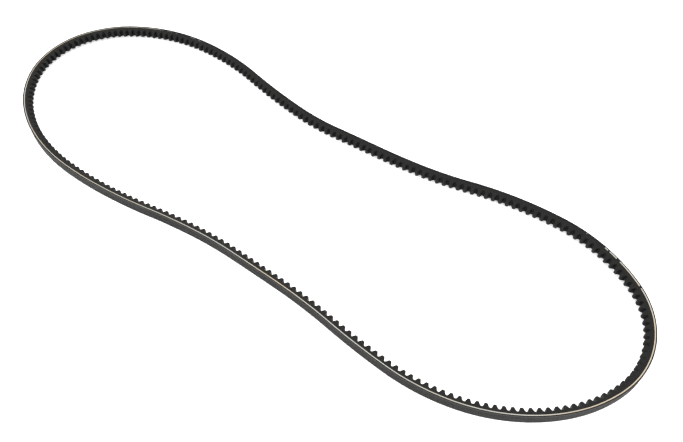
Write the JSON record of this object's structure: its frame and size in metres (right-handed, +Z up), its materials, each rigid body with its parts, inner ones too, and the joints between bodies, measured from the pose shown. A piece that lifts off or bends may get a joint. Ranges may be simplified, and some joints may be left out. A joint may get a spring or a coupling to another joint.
{
  "type": "v belt",
  "caption": "Raw-edge cogged V-belt of 13 by 10 mm section and 1850 mm outside length, lying on one flank as a slack, waisted loop that opens and closes.",
  "frame": {"origin": "centre of the loop's box, at the level that the belt lies on", "axes": "+X along the loop's long axis, +Z up across the belt's width, so that the drive's shafts stand along Z; -Y is the near span"},
  "size_m": [0.7934, 0.2556, 0.013],
  "materials": {
    "bias_fabric": "matte",
    "overcord_rubber": "matte",
    "cushion_rubber": "matte",
    "polyester_cord": "satin",
    "cog_rubber": "matte"
  },
  "bodies": {
    "near_span_left": {"near_span_left_back_fabric": "bias_fabric", "near_span_left_overcord_rubber": "overcord_rubber", "near_span_left_cushion_rubber": "cushion_rubber", "near_span_left_tensile_cords": "polyester_cord", "near_span_left_compression_rubber": "cog_rubber"},
    "near_span_right": {"near_span_right_back_fabric": "bias_fabric", "near_span_right_overcord_rubber": "overcord_rubber", "near_span_right_cushion_rubber": "cushion_rubber", "near_span_right_tensile_cords": "polyester_cord", "near_span_right_compression_rubber": "cog_rubber"},
    "right_lobe_near": {"right_lobe_near_back_fabric": "bias_fabric", "right_lobe_near_overcord_rubber": "overcord_rubber", "right_lobe_near_cushion_rubber": "cushion_rubber", "right_lobe_near_tensile_cords": "polyester_cord", "right_lobe_near_compression_rubber": "cog_rubber"},
    "right_lobe_far": {"right_lobe_far_back_fabric": "bias_fabric", "right_lobe_far_overcord_rubber": "overcord_rubber", "right_lobe_far_cushion_rubber": "cushion_rubber", "right_lobe_far_tensile_cords": "polyester_cord", "right_lobe_far_compression_rubber": "cog_rubber"},
    "far_span_right": {"far_span_right_back_fabric": "bias_fabric", "far_span_right_overcord_rubber": "overcord_rubber", "far_span_right_cushion_rubber": "cushion_rubber", "far_span_right_tensile_cords": "polyester_cord", "far_span_right_compression_rubber": "cog_rubber"},
    "far_span_left": {"far_span_left_back_fabric": "bias_fabric", "far_span_left_overcord_rubber": "overcord_rubber", "far_span_left_cushion_rubber": "cushion_rubber", "far_span_left_tensile_cords": "polyester_cord", "far_span_left_compression_rubber": "cog_rubber"},
    "left_lobe_far_a": {"left_lobe_far_a_back_fabric": "bias_fabric", "left_lobe_far_a_overcord_rubber": "overcord_rubber", "left_lobe_far_a_cushion_rubber": "cushion_rubber", "left_lobe_far_a_tensile_cords": "polyester_cord", "left_lobe_far_a_compression_rubber": "cog_rubber"},
    "left_lobe_far_b": {"left_lobe_far_b_back_fabric": "bias_fabric", "left_lobe_far_b_overcord_rubber": "overcord_rubber", "left_lobe_far_b_cushion_rubber": "cushion_rubber", "left_lobe_far_b_tensile_cords": "polyester_cord", "left_lobe_far_b_compression_rubber": "cog_rubber"},
    "left_lobe_near": {"left_lobe_near_back_fabric": "bias_fabric", "left_lobe_near_overcord_rubber": "overcord_rubber", "left_lobe_near_cushion_rubber": "cushion_rubber", "left_lobe_near_tensile_cords": "polyester_cord", "left_lobe_near_compression_rubber": "cog_rubber"}
  },
  "joints": [
    {"name": "right_end_bend", "type": "hinge", "parent": "right_lobe_near", "child": "right_lobe_far", "pos_m": [0.388, -0.02249, 0.0065], "axis": [0, 0, 1], "range_deg": [-24, 20]},
    {"name": "far_right_bend", "type": "hinge", "parent": "right_lobe_far", "child": "far_span_right", "pos_m": [0.15856, 0.11047, 0.0065], "axis": [0, 0, 1], "range_deg": [-5, 6]},
    {"name": "far_waist_bend", "type": "hinge", "parent": "far_span_right", "child": "far_span_left", "pos_m": [0.04709, 0.09748, 0.0065], "axis": [0, 0, 1], "range_deg": [-10, 12]},
    {"name": "far_left_bend", "type": "hinge", "parent": "far_span_left", "child": "left_lobe_far_a", "pos_m": [-0.06537, 0.09848, 0.0065], "axis": [0, 0, 1], "range_deg": [-5, 6]},
    {"name": "near_right_bend", "type": "hinge", "parent": "right_lobe_near", "child": "near_span_right", "pos_m": [0.05859, -0.11046, 0.0065], "axis": [0, 0, -1], "range_deg": [-5, 6]},
    {"name": "near_waist_bend", "type": "hinge", "parent": "near_span_right", "child": "near_span_left", "pos_m": [-0.05388, -0.10946, 0.0065], "axis": [0, 0, -1], "range_deg": [-10, 12]},
    {"name": "near_left_bend", "type": "hinge", "parent": "near_span_left", "child": "left_lobe_near", "pos_m": [-0.16535, -0.12246, 0.0065], "axis": [0, 0, -1], "range_deg": [-5, 6]},
    {"name": "left_end_bend", "type": "hinge", "parent": "left_lobe_near", "child": "left_lobe_far_b", "pos_m": [-0.39478, 0.0105, 0.0065], "axis": [0, 0, -1], "range_deg": [-24, 20]}
  ],
  "couplings": [
    {"joint": "left_end_bend", "follows": "right_end_bend", "ratio": 1},
    {"joint": "near_waist_bend", "follows": "right_end_bend", "ratio": -0.5},
    {"joint": "far_waist_bend", "follows": "right_end_bend", "ratio": -0.5},
    {"joint": "near_left_bend", "follows": "right_end_bend", "ratio": -0.25},
    {"joint": "near_right_bend", "follows": "right_end_bend", "ratio": -0.25},
    {"joint": "far_right_bend", "follows": "right_end_bend", "ratio": -0.25},
    {"joint": "far_left_bend", "follows": "right_end_bend", "ratio": -0.25}
  ]
}
